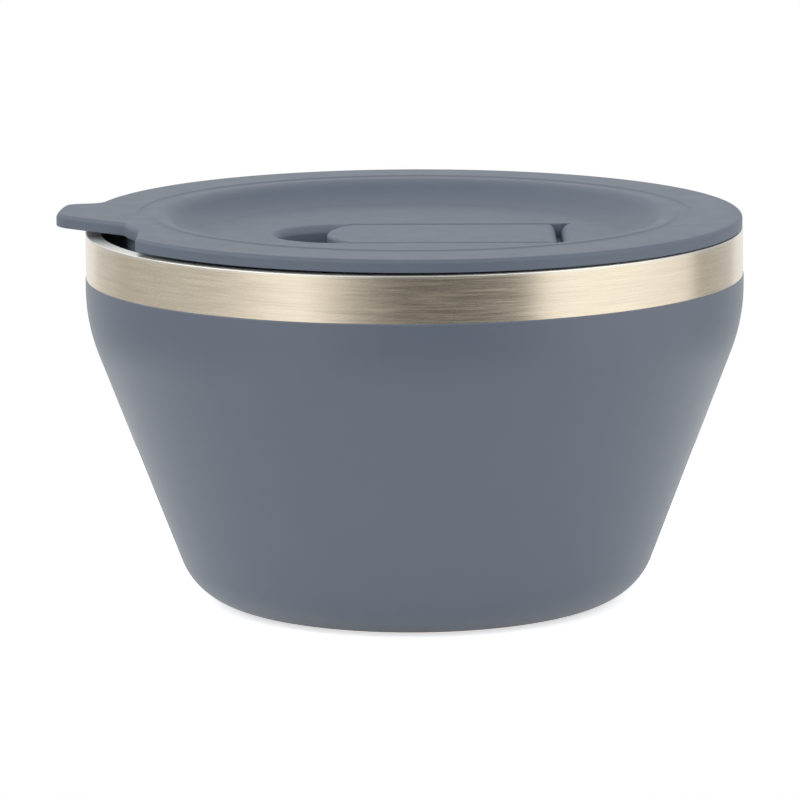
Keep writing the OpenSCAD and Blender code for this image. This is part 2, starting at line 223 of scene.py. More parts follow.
# Places that follow from the sizes
straight_z = rim_z - straight_h
cone_top_r = bowl_r - shoulder_r * (1 - math.cos(math.radians(wall_slope)))
cone_top_z = straight_z - shoulder_r * math.sin(math.radians(wall_slope))
cone_low_z = base_round * (1 - math.sin(math.radians(wall_slope)))
cone_low_r = cone_top_r - (cone_top_z - cone_low_z) * math.tan(math.radians(wall_slope))
foot_r = cone_low_r - base_round * math.cos(math.radians(wall_slope))
ring_r = foot_r - ring_w
coat_end = math.degrees(math.asin((base_round - coat_t) / (base_round + coat_t)))
liner_reach = rim_w + floor_round
liner_z = floor_z + floor_round
liner_drop = cone_top_z + liner_reach * math.sin(math.radians(wall_slope)) - liner_z
liner_x = (cone_top_r - liner_reach * math.cos(math.radians(wall_slope))
           - liner_drop * math.tan(math.radians(wall_slope)))
dish_floor_r = dish_edge - dish_run
dish_angle = 2 * math.degrees(math.atan(dish_depth / dish_run))
dish_floor_round = dish_run / math.sin(math.radians(dish_angle)) - dish_edge_r
hinge_z = dish_z - barrel_r
nose_x = hinge_x - flap_len
well_half = flap_w / 2 + flap_gap
well_end = hinge_x + barrel_r + hinge_gap
well_z = dish_z - well_depth
well_low = min(well_z, hinge_z - barrel_r - trough_gap) - well_floor
well_top = dish_z - lid_t / 2
scoop_x = nose_x - scoop_len + well_half
scoop_wall = well_half - scoop_lip
scoop_centre = (scoop_wall - scoop_round, dish_z - scoop_depth + scoop_round)
vent_x = hinge_x - vent_reach


def arc(centre, radius, start, end, steps):
    """Points along an arc in a plane, with its angles in degrees."""
    turns = [math.radians(start + (end - start) * i / steps) for i in range(steps + 1)]
    return [(centre[0] + radius * math.cos(a), centre[1] + radius * math.sin(a)) for a in turns]


def flat(points, z):
    """Points of the lid's plan at one height."""
    return [Vector((x, y, z)) for x, y in points]


def upright(points, y=0.0):
    """Points of a side view, (x, z), on one upright plane."""
    return [Vector((x, y, z)) for x, z in points]


def draw(name, points):
    """A new piece in edit mode: one vertex that is extruded from point to point."""
    bpy.ops.object.select_all(action="DESELECT")
    bpy.ops.mesh.primitive_plane_add(size=MM, location=(0, 0, 0))
    piece = bpy.context.object
    piece.name = piece.data.name = name
    bpy.ops.object.mode_set(mode="EDIT")
    bpy.ops.mesh.select_mode(type="VERT")
    bpy.ops.mesh.select_all(action="SELECT")
    bpy.ops.mesh.merge(type="CENTER")
    bpy.ops.transform.translate(value=points[0])
    for start, end in zip(points, points[1:]):
        bpy.ops.mesh.extrude_vertices_move(TRANSFORM_OT_translate={"value": end - start})
    return piece


def draw_face(name, points, towards):
    """A new piece in edit mode: one flat face inside a closed outline, turned that way and selected."""
    piece = draw(name, points + points[:1])
    bpy.ops.mesh.select_all(action="SELECT")
    bpy.ops.mesh.remove_doubles(threshold=WELD)
    bpy.ops.mesh.edge_face_add()
    bpy.ops.object.mode_set(mode="OBJECT")
    turned_away = piece.data.polygons[0].normal.dot(Vector(towards)) < 0
    bpy.ops.object.mode_set(mode="EDIT")
    bpy.ops.mesh.select_mode(type="FACE")
    bpy.ops.mesh.select_all(action="SELECT")
    if turned_away:
        bpy.ops.mesh.flip_normals()
    return piece


def seal():
    """Merges what meets, turns the faces outwards and leaves edit mode."""
    bpy.ops.mesh.select_all(action="SELECT")
    bpy.ops.mesh.remove_doubles(threshold=WELD)
    bpy.ops.mesh.normals_make_consistent(inside=False)
    bpy.ops.object.mode_set(mode="OBJECT")


def turned(name, profile, centre=(0, 0), steps=TURN_STEPS):
    """A profile of (radius, height) points spun round an upright axis."""
    piece = draw(name, [Vector((centre[0] + r, centre[1], z)) for r, z in profile])
    bpy.ops.mesh.select_all(action="SELECT")
    bpy.ops.mesh.spin(steps=steps, angle=math.tau, center=(*centre, 0), axis=(0, 0, 1))
    seal()
    return piece


def bar_y(name, x, z, profile):
    """A profile of (radius, y) points spun round an axis along Y."""
    piece = draw(name, [Vector((x + r, y, z)) for r, y in profile])
    bpy.ops.mesh.select_all(action="SELECT")
    bpy.ops.mesh.spin(steps=SMALL_STEPS, angle=math.tau, center=(x, 0, z), axis=(0, 1, 0))
    seal()
    return piece


def edge_steps(radius, steps):
    """Insets and drops that round an edge off: each pair is (inwards, outwards along the normal)."""
    turns = [math.pi / 2 * i / steps for i in range(steps + 1)]
    return [(radius * (math.cos(a) - math.cos(b)), radius * (math.sin(b) - math.sin(a)))
            for a, b in zip(turns, turns[1:])]


def round_face(radius, steps):
    """Rounds off all edges of the selected flat face by growing it along its normal, inset by inset."""
    for inwards, outwards in edge_steps(radius, steps):
        bpy.ops.mesh.inset(thickness=inwards, depth=outwards)


def select_faces(piece, test):
    """Selects the faces whose middle and normal pass the test, in edit mode."""
    bpy.ops.object.mode_set(mode="EDIT")
    bpy.ops.mesh.select_mode(type="FACE")
    bpy.ops.mesh.select_all(action="DESELECT")
    bpy.ops.object.mode_set(mode="OBJECT")
    for face in piece.data.polygons:
        face.select = test(face.center, face.normal)
    bpy.ops.object.mode_set(mode="EDIT")


def select_open_edges(piece, test):
    """Selects the open edges whose two ends pass the test, in edit mode."""
    bpy.ops.object.mode_set(mode="EDIT")
    bpy.ops.mesh.select_mode(type="EDGE")
    bpy.ops.mesh.select_all(action="DESELECT")
    bpy.ops.mesh.select_non_manifold(use_multi_face=False, use_non_contiguous=False, use_verts=False)
    bpy.ops.object.mode_set(mode="OBJECT")
    mesh = piece.data
    chosen = [e for e in mesh.edges
              if e.select and all(test(mesh.vertices[i].co) for i in e.vertices)]
    for vertex in mesh.vertices:
        vertex.select = False
    for edge in mesh.edges:
        edge.select = False
    for edge in chosen:
        edge.select = True
        for i in edge.vertices:
            mesh.vertices[i].select = True
    bpy.ops.object.mode_set(mode="EDIT")


def join(piece, *others):
    """Makes the others part of the piece's mesh."""
    bpy.ops.object.select_all(action="DESELECT")
    for o in (piece, *others):
        o.select_set(True)
    bpy.context.view_layer.objects.active = piece
    bpy.ops.object.join()


def combine(piece, other, operation):
    """Adds the other solid to the piece, or cuts it out of the piece."""
    step = piece.modifiers.new("combine", "BOOLEAN")
    step.operation = operation
    step.solver = "EXACT"
    step.object = other
    bpy.ops.object.select_all(action="DESELECT")
    piece.select_set(True)
    bpy.context.view_layer.objects.active = piece
    bpy.ops.object.modifier_apply(modifier=step.name)
    bpy.data.objects.remove(other)


def smooth(piece, sharp_over=35):
    """Shades the piece smooth up to an angle, with large faces kept flat."""
    bpy.ops.object.select_all(action="DESELECT")
    piece.select_set(True)
    bpy.context.view_layer.objects.active = piece
    bpy.ops.object.shade_smooth_by_angle(angle=math.radians(sharp_over))
    step = piece.modifiers.new("flat_faces", "WEIGHTED_NORMAL")
    step.keep_sharp = True
    bpy.ops.object.modifier_apply(modifier=step.name)


def put_on_bowl(piece):
    """Lays a piece of the lid in the bowl's mouth, with its place in its mesh."""
    piece.rotation_euler = (0, lid_tilt, 0)
    piece.location = (lid_shift, -lid_forward, lid_z)
    bpy.ops.object.select_all(action="DESELECT")
    piece.select_set(True)
    bpy.context.view_layer.objects.active = piece
    bpy.ops.object.transform_apply(location=True, rotation=True, scale=True)


def wall(inwards):
    """The bowl's wall from the shoulder to the coat's lower end."""
    return (arc((bowl_r - shoulder_r, straight_z), shoulder_r - inwards, 0, -wall_slope, WALL_STEPS)
            + arc((foot_r, base_round), base_round - inwards, -wall_slope, -coat_end, WALL_STEPS))


def foot(inwards):
    """The last stretch of the base's round, down to the table."""
    return arc((foot_r, base_round), base_round - inwards, -coat_end, -90, CORNER_STEPS)[1:]


def liner(inwards):
    """The liner's wall from the shoulder to the middle of its floor."""
    return (arc((bowl_r - shoulder_r, straight_z), shoulder_r - inwards, 0, -wall_slope, WALL_STEPS)
            + arc((liner_x, liner_z), liner_reach - inwards, -wall_slope, -90, LINER_STEPS)
            + [(0, liner_z - liner_reach + inwards)])


def make_shell():
    """Outer steel wall: bare band, hidden wall under the coat, and the ring that it stands on."""
    seat_z = rim_z - steel_t
    outside = [(bowl_r, seat_z), *wall(0), *foot(0)]
    inside = [*wall(steel_t), *foot(steel_t)]
    ring = [(ring_r, 0), (ring_r, steel_t)]
    return turned("steel_shell", [*outside, *ring, *inside[::-1],
                                  (bowl_r - steel_t, seat_z), (bowl_r, seat_z)])


def make_coat():
    """Powder coat on the outer wall, thinning out to a fine lip at the band."""
    lip = arc((bowl_r - coat_lip + coat_t, band_z - coat_lip), coat_lip, 60, 0, CORNER_STEPS)
    lip[0] = (bowl_r, band_z)
    return turned("coat_skin", [*lip, *wall(-coat_t), *wall(0)[::-1], (bowl_r, band_z)])


def make_liner():
    """Inner steel bowl with the satin rim that is turned out over the shell."""
    seat_z = rim_z - steel_t
    corner_z = rim_z - rim_round
    rim = [(bowl_r, seat_z), *arc((bowl_r - rim_round, corner_z), rim_round, 0, 90, RIM_STEPS),
           *arc((mouth_r + rim_round, corner_z), rim_round, 90, 180, RIM_STEPS)]
    return turned("liner_bowl", [*rim, *liner(rim_w), *liner(rim_w - steel_t)[::-1],
                                 (mouth_r + steel_t, seat_z), (bowl_r, seat_z)])


def make_foot_cover():
    """Thin disc under the base, with a rolled edge and a shallow pressed ring."""
    edge_r = cover_high.x
    low, high = cover_low.z, cover_high.z
    press_r = edge_r * press_share
    ring = arc((press_r, low), press_w, 180, 0, ROUND_STEPS)[1:-1]
    under = [(0, low), (press_r - press_w, low), *ring, (press_r + press_w, low)]
    under = [(r, low + min(z - low, press_depth)) for r, z in under]
    edge = arc((edge_r - cover_round, low + cover_round), cover_round, -90, 0, COVER_STEPS)
    return turned("foot_cover", [*under, *edge, (edge_r, high), (0, high)])


def meet(start, along, radius):
    """Where a line that starts outside a circle round the lid's axis first meets it."""
    reach = -start.dot(along)
    return start + (reach - math.sqrt(reach ** 2 - start.length_squared + radius ** 2)) * along


def bearing(point):
    """Direction of a point from the lid's axis, from 0 to 360 degrees."""
    return math.degrees(math.atan2(point.y, point.x)) % 360


def flange_outline():
    """The lid's edge seen from above, counter-clockwise: flange, tab, notch."""
    tip_r = lid_r + tab_out
    back_slope, front_slope = math.radians(tab_back_slope), math.radians(tab_front_slope)
    back = Vector((-tip_r, tab_offset + tab_w / 2))
    front = Vector((-tip_r, tab_offset - tab_w / 2))
    along_back = Vector((math.cos(back_slope), math.sin(back_slope)))
    along_front = Vector((math.cos(front_slope), -math.sin(front_slope)))
    off_back = Vector((-along_back.y, along_back.x))
    off_front = Vector((along_front.y, -along_front.x))
    fillet = meet(back + tab_fillet * off_back, along_back, lid_r + tab_fillet)
    back_corner = meet(back - tab_back_corner * off_back, along_back, tip_r - tab_back_corner)
    front_corner = meet(front - tab_front_corner * off_front, along_front, tip_r - tab_front_corner)
    # The tab's front edge runs on to the notch's inner wall
    root = meet(front, along_front, notch_r)
    notch_end = Vector((notch_x, -math.sqrt(notch_r ** 2 - notch_x ** 2)))
    corner_x = notch_x + notch_corner
    corner = Vector((corner_x, -math.sqrt((lid_r - notch_corner) ** 2 - corner_x ** 2)))
    return [
        *arc((0, 0), lid_r, bearing(corner), 360 + bearing(fillet), FLANGE_STEPS),
        *arc(fillet, tab_fillet, bearing(fillet) + 180, tab_back_slope + 270, FILLET_STEPS)[1:],
        *arc(back_corner, tab_back_corner, 90 + tab_back_slope, bearing(back_corner), ROUND_STEPS),
        *arc((0, 0), tip_r, bearing(back_corner), bearing(front_corner), ROUND_STEPS)[1:],
        *arc(front_corner, tab_front_corner, bearing(front_corner), 270 - tab_front_slope,
             ROUND_STEPS)[1:],
        *arc((0, 0), notch_r, bearing(root), bearing(notch_end), NOTCH_STEPS),
        *arc(corner, notch_corner, 180, bearing(corner), CORNER_STEPS)[:-1],
    ]


def make_flange():
    """The flange's border with its tab and notch, rounded above and below, open where the middle goes."""
    piece = draw_face("lid", flat(flange_outline(), flange_low_round), UP)
    rise = flange_t - flange_top_round - flange_low_round
    bpy.ops.mesh.extrude_region_move(TRANSFORM_OT_translate={"value": (0, 0, rise)})
    seal()
    for radius, up in ((flange_top_round, 1), (flange_low_round, -1)):
        select_faces(piece, lambda middle, normal: normal.z * up > 0.9)
        round_face(radius, FLANGE_INSETS)
        bpy.ops.mesh.delete(type="ONLY_FACE")
    bpy.ops.object.mode_set(mode="OBJECT")
    return piece


def dish(below):
    """The lid's dish from the edge of its flat floor to its upper edge."""
    low = arc((dish_floor_r, dish_z + dish_floor_round), dish_floor_round + below,
              -90, dish_angle - 90, DISH_STEPS)
    high = arc((dish_edge, flange_t - dish_edge_r), dish_edge_r - below, 90 + dish_angle, 90, DISH_EDGE_STEPS)
    return low + high[1:]


def make_lid_top():
    """Dish wall, land and ring groove, turned."""
    low = flange_t - ring_groove_depth
    groove = [(groove_in_r, flange_t), (groove_in_r + ring_groove_side, low),
              (groove_out_r - ring_groove_side, low), (groove_out_r, flange_t)]
    return turned("lid_top", [*dish(0), *soften(groove, ring_groove_round), (join_r, flange_t)])


def soften(corners, radius):
    """Replaces the corners of a line by short curves, as a chamfer of three points each."""
    soft = []
    for i, corner in enumerate(corners):
        here = Vector(corner)
        before = Vector(corners[i - 1]) if i else here - Vector((MM, 0))
        after = Vector(corners[i + 1]) if i + 1 < len(corners) else here + Vector((MM, 0))
        into, out = (before - here), (after - here)
        step = min(radius, into.length / 2.2, out.length / 2.2)
        a, b = here + into.normalized() * step, here + out.normalized() * step
        soft += [tuple(a), tuple((a + b) / 4 + here / 2), tuple(b)]
    return soft


def make_lid_under():
    """Underside of the lid: flange, plug skirt with its gasket groove, and the back of the dish."""
    skirt_in = plug_r - lid_t
    gland_r = plug_r - gland_depth
    gland_low = gland_top - gland_h
    tip = arc((plug_r - plug_round, -plug_h + plug_round), plug_round, 0, -90, CORNER_STEPS)
    tip += arc((skirt_in + plug_round, -plug_h + plug_round), plug_round, -90, -180, CORNER_STEPS)
    return turned("lid_under", [
        (join_r, 0), (plug_r, 0), (plug_r, gland_top), (gland_r, gland_top), (gland_r, gland_low),
        (plug_r, gland_low), *tip, (skirt_in, flange_t - lid_t), *dish(lid_t)[::-1]])


def at_height(z):
    """A test for points that lie at that height."""
    return lambda point: abs(point.z - z) < WELD


def prism(name, outline, towards, push):
    """A flat outline pushed out to a solid."""
    piece = draw_face(name, outline, towards)
    bpy.ops.mesh.extrude_region_move(TRANSFORM_OT_translate={"value": push})
    seal()
    return piece


def flap_outline(gap, end_x):
    """The flap's outline with its round nose, grown by a gap, up to a square end."""
    half = flap_w / 2 + gap
    corner = math.degrees(math.asin(half / (nose_r + gap)))
    nose = arc((nose_x + nose_r, 0), nose_r + gap, 180 - corner, 180 + corner, NOSE_STEPS)
    return nose + [(end_x, -half), (end_x, half)]


def make_well_cutter():
    """The recess for the flap, with a flared lip along its top edge."""
    start = math.radians(LIP_START)
    turns = [start + (math.pi / 2 - start) * i / CORNER_STEPS for i in range(CORNER_STEPS + 1)]
    run = LIP_FLARE / math.tan(start)
    grow = well_lip * (1 - math.sin(start)) + run
    outline = flap_outline(flap_gap + grow, well_end + grow)
    top = dish_z - well_lip * (1 - math.cos(start)) + LIP_FLARE
    piece = draw_face("well_cutter", flat(outline, top), DOWN)
    bpy.ops.mesh.inset(thickness=run, depth=LIP_FLARE)
    for a, b in zip(turns, turns[1:]):
        bpy.ops.mesh.inset(thickness=well_lip * (math.sin(b) - math.sin(a)),
                           depth=well_lip * (math.cos(a) - math.cos(b)))
    drop = well_z - (dish_z - well_lip)
    bpy.ops.mesh.extrude_region_move(TRANSFORM_OT_translate={"value": (0, 0, drop)})
    bpy.ops.object.mode_set(mode="OBJECT")
    select_open_edges(piece, lambda point: True)
    bpy.ops.mesh.edge_face_add()
    seal()
    return piece


def make_scoop_cutter():
    """The hollow for a fingertip: a floor, a steep wall and a soft lip."""
    lip = arc((well_half, dish_z - scoop_lip), scoop_lip, 180, 90 + LIP_START, SCOOP_LIP_STEPS)
    run = LIP_FLARE / math.tan(math.radians(LIP_START))
    edge = (lip[-1][0] + run, lip[-1][1] + LIP_FLARE)
    hollow = arc(scoop_centre, scoop_round, -90, 0, ROUND_STEPS)
    profile = [(0, dish_z - scoop_depth), *hollow, *lip[1:], edge, (edge[0], dish_z + cut),
               (0, dish_z + cut)]
    return turned("scoop_cutter", profile, (scoop_x, 0), SCOOP_STEPS)


def make_shoulder_cutter():
    """The rounded end of the well, beside the hinge."""
    side = arc((well_end + well_shoulder, dish_z - well_shoulder), well_shoulder,
               180, 90 + LIP_START, LIP_STEPS)
    run = LIP_FLARE / math.tan(math.radians(LIP_START))
    edge_x = side[-1][0] + run
    profile = [(well_end - cut, dish_z - well_shoulder), *side, (edge_x, side[-1][1] + LIP_FLARE),
               (edge_x, dish_z + cut), (well_end - cut, dish_z + cut)]
    return prism("shoulder_cutter", upright(profile, -well_half), FRONT, (0, 2 * well_half, 0))


def make_well_block():
    """The walls and floor of the well, under the dish."""
    half = well_half + well_wall
    end = well_end + well_wall
    outline = arc((scoop_x, 0), half, 90, 270, WELL_STEPS) + [(end, -half), (end, half)]
    return prism("well_block", flat(outline, well_low), DOWN, (0, 0, well_top - well_low))


def make_scoop_back():
    """The round back of the finger scoop, under the dish."""
    hollow = arc(scoop_centre, scoop_round + lid_t, -90, 0, ROUND_STEPS)
    profile = [(0, dish_z - scoop_depth - lid_t), *hollow, (scoop_wall + lid_t, well_top), (0, well_top)]
    return turned("scoop_back", profile, (scoop_x, 0), SCOOP_STEPS)


def rod(name, radius, half):
    """A plain rod along the hinge line."""
    return bar_y(name, hinge_x, hinge_z, [(0, -half), (radius, -half), (radius, half), (0, half)])


def make_lid():
    """The moulded lid: turned middle, flange with tab and notch, well, scoop, hinge sockets and vent hole."""
    lid = make_flange()
    join(lid, make_lid_top(), make_lid_under())
    for z in (flange_t, 0):
        select_open_edges(lid, at_height(z))
        bpy.ops.mesh.fill()
    for z in (dish_z, dish_z - lid_t):
        select_open_edges(lid, at_height(z))
        bpy.ops.mesh.edge_face_add()
    seal()
    combine(lid, make_well_block(), "UNION")
    combine(lid, make_scoop_back(), "UNION")
    combine(lid, make_well_cutter(), "DIFFERENCE")
    combine(lid, make_scoop_cutter(), "DIFFERENCE")
    combine(lid, make_shoulder_cutter(), "DIFFERENCE")
    combine(lid, rod("trough", barrel_r + trough_gap, well_half), "DIFFERENCE")
    socket_half = well_half + trunnion_reach + trunnion_play
    combine(lid, rod("sockets", trunnion_r + trunnion_play, socket_half), "DIFFERENCE")
    vent = [(0, well_low - cut), (vent_r, well_low - cut), (vent_r, well_z + cut), (0, well_z + cut)]
    combine(lid, turned("vent", vent, (vent_x, 0), SMALL_STEPS), "DIFFERENCE")
    return lid


def make_gasket():
    """Silicone ring in the plug skirt's groove, with two lips that lean up towards the bowl's wall."""
    inner = plug_r - gland_depth + gland_play
    low, high = gland_top - gland_h + gland_play, gland_top - gland_play
    body_r = plug_r + gasket_body
    off_axis = math.hypot(lid_shift, lid_forward)
    tip_r = mouth_r - lip_gap - off_axis - lip_t / 2
    lips = []
    for z in (low + lip_t / 2, high - lip_t / 2):
        tip = arc((tip_r, z + lip_rise), lip_t / 2, -70, 110, LIP_STEPS)
        lips += [(body_r, z - lip_t / 2), *tip, (body_r, z + lip_t / 2)]
    return turned("gasket_ring", [(inner, low), *lips, (inner, high), (inner, low)])


def make_flap():
    """The vent flap: a plate with a round nose, a rolled hinge end, trunnions and a stopper's seat."""
    under = dish_z - flap_t
    roll = math.degrees(math.asin((hinge_z - under) / barrel_r))
    profile = [*arc((nose_x + flap_round, under + flap_round), flap_round, 180, 270, CORNER_STEPS),
               *arc((hinge_x, hinge_z), barrel_r, 180 + roll, 450, BARREL_STEPS),
               *arc((nose_x + flap_round, dish_z - flap_round), flap_round, 90, 180, CORNER_STEPS)]
    half = flap_w / 2 - flap_round
    slice_w = 2 * half / FLAP_SLICES
    flap = draw_face("flap", upright(profile, -half), FRONT)
    for _ in range(FLAP_SLICES):
        bpy.ops.mesh.extrude_region_move(TRANSFORM_OT_translate={"value": (0, slice_w, 0)})
    seal()
    for side in (-1, 1):
        select_faces(flap, lambda middle, normal: normal.y * side > 0.9)
        round_face(flap_round, FLAP_INSETS)
    bpy.ops.object.mode_set(mode="OBJECT")
    # The nose is drawn back towards its corners along its round
    for vertex in flap.data.vertices:
        if vertex.co.x < nose_x + 2 * flap_round:
            vertex.co.x += nose_r - math.sqrt(nose_r ** 2 - vertex.co.y ** 2)
    reach = flap_w / 2 + flap_gap + trunnion_reach
    tip = trunnion_chamfer
    pin = [(0, -reach), (trunnion_r - tip, -reach), (trunnion_r, -reach + tip),
           (trunnion_r, reach - tip), (trunnion_r - tip, reach), (0, reach)]
    combine(flap, bar_y("trunnions", hinge_x, hinge_z, pin), "UNION")
    stud = [(0, under - cut), (stud_r, under - cut), (stud_r, under + stud_len), (0, under + stud_len)]
    combine(flap, turned("stud_hole", stud, (vent_x, 0), SMALL_STEPS), "DIFFERENCE")
    return flap


def make_stopper():
    """Silicone stopper under the flap, with a round tip and a stud that holds it."""
    under = dish_z - flap_t
    seat = well_z + stopper_lift
    plug = vent_r - stopper_play
    tip = well_z - stopper_len
    seat_r = vent_r + stopper_seat
    point = arc((plug - stopper_tip_round, tip + stopper_tip_round), stopper_tip_round, -90, 0, CORNER_STEPS)
    edge = arc((seat_r - stopper_seat_round, seat + stopper_seat_round), stopper_seat_round,
               -90, 0, SEAT_STEPS)
    profile = [(0, tip), *point, (plug, seat), *edge, (seat_r, under), (stud_r, under),
               (stud_r, under + stud_len), (0, under + stud_len)]
    return turned("stopper", profile, (vent_x, 0), SMALL_STEPS)


def add(tree, kind, sockets=None, **settings):
    """Adds a shader node: settings are its options, and a socket is given a value or linked to an output.

    A Mix takes its share in socket 0, two values in 2 and 3, and two colours in 6 and 7.
    """
    node = tree.nodes.new("ShaderNode" + kind)
    for option, value in settings.items():
        setattr(node, option, value)
    for socket, value in (sockets or {}).items():
        if isinstance(value, bpy.types.NodeSocket):
            tree.links.new(value, node.inputs[socket])
        else:
            node.inputs[socket].default_value = value
    return node


def new_finish(name, **values):
    """A new material: returns it with its node tree and its shader, whose plain values are set."""
    material = bpy.data.materials.new(name)
    material.use_nodes = True
    shader = material.node_tree.nodes["Principled BSDF"]
    for socket, value in values.items():
        shader.inputs[socket.replace("_", " ").title().replace("Ior", "IOR")].default_value = value
    return material, material.node_tree, shader


def noise(tree, size, detail=2.0, vector=None):
    """Noise with features of that size, or of that size along each axis, in metres."""
    place = vector or add(tree, "TexCoord").outputs["Object"]
    across = size if isinstance(size, tuple) else (size, size, size)
    scaled = add(tree, "Mapping", {"Vector": place, "Scale": [1 / s for s in across]})
    return add(tree, "TexNoise", {"Vector": scaled.outputs[0], "Scale": 1.0, "Detail": detail}).outputs["Fac"]


def spread(tree, value, low, high):
    """A noise value spread from low to high, about evenly."""
    return add(tree, "MapRange", {0: value, 1: 0.3, 2: 0.7, 3: low, 4: high}).outputs[0]


def tint(tree, value, dark, light):
    """A colour between two, chosen by a noise value."""
    share = spread(tree, value, 0.0, 1.0)
    return add(tree, "Mix", {0: share, 6: (*dark, 1), 7: (*light, 1)}, data_type="RGBA").outputs[2]


def blend(tree, share, first, second):
    """Two values mixed by a share."""
    return add(tree, "Mix", {0: share, 2: first, 3: second}).outputs[0]


def shades(colour, share):
    """A colour a little darker and a little lighter."""
    return [c * (1 - share) for c in colour], [c * (1 + share) for c in colour]


def bumps(tree, shader, value, height, strength=1.0, under=None):
    """Raises the surface by a noise value times a height in metres."""
    sockets = {"Height": value, "Distance": height, "Strength": strength}
    if under:
        sockets["Normal"] = under
    normal = add(tree, "Bump", sockets).outputs[0]
    tree.links.new(normal, shader.inputs["Normal"])
    return normal


def brushed_around(name, colour, roughness, contrast):
    """Steel brushed round the bowl's axis: long fine streaks that spread a highlight up and down."""
    material, tree, shader = new_finish(name, metallic=1.0, anisotropic=0.8, anisotropic_rotation=0.25)
    streaks = noise(tree, (12 * MM, 12 * MM, 0.2 * MM), 4.0)
    broad = noise(tree, (25 * MM, 25 * MM, 0.8 * MM))
    both = blend(tree, 0.35, streaks, broad)
    tree.links.new(tint(tree, both, *shades(colour, contrast)), shader.inputs["Base Color"])
    tree.links.new(spread(tree, streaks, roughness - 0.05, roughness + 0.05), shader.inputs["Roughness"])
    around = add(tree, "Tangent", direction_type="RADIAL", axis="Z").outputs[0]
    tree.links.new(around, shader.inputs["Tangent"])
    bumps(tree, shader, streaks, 0.004 * MM, 0.6)
    return material


def shell_steel():
    """The bare band's warm brushed steel."""
    colour = (0.66, 0.582, 0.46)
    return brushed_around("shell_steel", colour, roughness=0.26, contrast=0.1)


def liner_steel():
    """Brushed steel inside and along the rim's outer round, and a satin rim top painted lighter as a painted
    highlight.
    """
    # The rim's top gets a lighter colour than the steel, which is a painted highlight; its higher roughness
    # is the satin finish
    rim_highlight_colour = (0.82, 0.82, 0.78, 1)
    rim_roughness = 0.42
    material = brushed_around("liner_steel", (0.66, 0.62, 0.53), roughness=0.3, contrast=0.04)
    tree = material.node_tree
    shader = tree.nodes["Principled BSDF"]
    brushed = shader.inputs["Roughness"].links[0].from_socket
    place = add(tree, "TexCoord").outputs["Object"]
    height = add(tree, "SeparateXYZ", {0: place}).outputs[2]
    on_rim = add(tree, "MapRange", {0: height, 1: rim_z - rim_round, 2: rim_z - rim_round / 4}).outputs[0]
    satin = blend(tree, on_rim, brushed, rim_roughness)
    tree.links.new(satin, shader.inputs["Roughness"])
    steel = shader.inputs["Base Color"].links[0].from_socket
    # Painted highlight: the rim's top is mixed towards the lighter colour
    light = add(tree, "Mix", {0: on_rim, 6: steel, 7: rim_highlight_colour}, data_type="RGBA").outputs[2]
    tree.links.new(light, shader.inputs["Base Color"])
    return material


def powder_coat():
    """Matt blue-grey powder coat with a very fine grain."""
    colour = (0.1, 0.121, 0.158)
    material, tree, shader = new_finish("powder_coat", ior=1.5)
    grain = noise(tree, 0.16 * MM, 1.0)
    clouds = noise(tree, 9 * MM, 3.0)
    both = blend(tree, 0.4, grain, clouds)
    tree.links.new(tint(tree, both, *shades(colour, 0.025)), shader.inputs["Base Color"])
    tree.links.new(spread(tree, grain, 0.36, 0.44), shader.inputs["Roughness"])
    peel = bumps(tree, shader, noise(tree, 0.9 * MM, 1.0), 0.01 * MM, 0.5)
    bumps(tree, shader, grain, 0.006 * MM, 0.8, peel)
    return material


def lid_plastic():
    """Matt moulded plastic in the coat's colour, with a fine spark texture."""
    colour = (0.099, 0.123, 0.162)
    material, tree, shader = new_finish("lid_plastic", ior=1.47)
    grain = noise(tree, 0.22 * MM, 2.0)
    clouds = noise(tree, 6 * MM, 4.0)
    both = blend(tree, 0.5, grain, clouds)
    tree.links.new(tint(tree, both, *shades(colour, 0.04)), shader.inputs["Base Color"])
    tree.links.new(spread(tree, clouds, 0.48, 0.54), shader.inputs["Roughness"])
    bumps(tree, shader, grain, 0.012 * MM, 0.8)
    return material


def silicone():
    """Matt white silicone, a little translucent."""
    colour = (0.66, 0.68, 0.70)
    material, tree, shader = new_finish("silicone", ior=1.42, subsurface_weight=0.25, subsurface_scale=0.002,
                                        subsurface_radius=(1, 1, 1))
    clouds = noise(tree, 3 * MM, 3.0)
    tree.links.new(tint(tree, clouds, *shades(colour, 0.03)), shader.inputs["Base Color"])
    tree.links.new(spread(tree, clouds, 0.5, 0.62), shader.inputs["Roughness"])
    bumps(tree, shader, noise(tree, 0.3 * MM), 0.008 * MM, 0.6)
    return material


def base_steel():
    """Satin steel turned on a lathe: fine rings round the axis."""
    colour = (0.55, 0.54, 0.52)
    material, tree, shader = new_finish("base_steel", metallic=1.0)
    place = add(tree, "TexCoord").outputs["Object"]
    level = add(tree, "VectorMath", {0: place, 1: (1, 1, 0)}, operation="MULTIPLY").outputs[0]
    radius = add(tree, "VectorMath", {0: level}, operation="LENGTH").outputs["Value"]
    across = add(tree, "CombineXYZ", {0: radius}).outputs[0]
    rings = noise(tree, 0.15 * MM, 4.0, across)
    smudges = noise(tree, 8 * MM, 3.0)
    tree.links.new(tint(tree, rings, *shades(colour, 0.06)), shader.inputs["Base Color"])
    tree.links.new(spread(tree, smudges, 0.28, 0.42), shader.inputs["Roughness"])
    bumps(tree, shader, rings, 0.004 * MM, 0.7)
    return material


def seal_metal():
    """Dull solder, as it set."""
    material, tree, shader = new_finish("seal_metal", metallic=1.0)
    lumps = noise(tree, 0.8 * MM, 3.0)
    tree.links.new(tint(tree, lumps, (0.34, 0.35, 0.36), (0.45, 0.46, 0.47)), shader.inputs["Base Color"])
    tree.links.new(spread(tree, lumps, 0.35, 0.6), shader.inputs["Roughness"])
    bumps(tree, shader, lumps, 0.05 * MM)
    return material


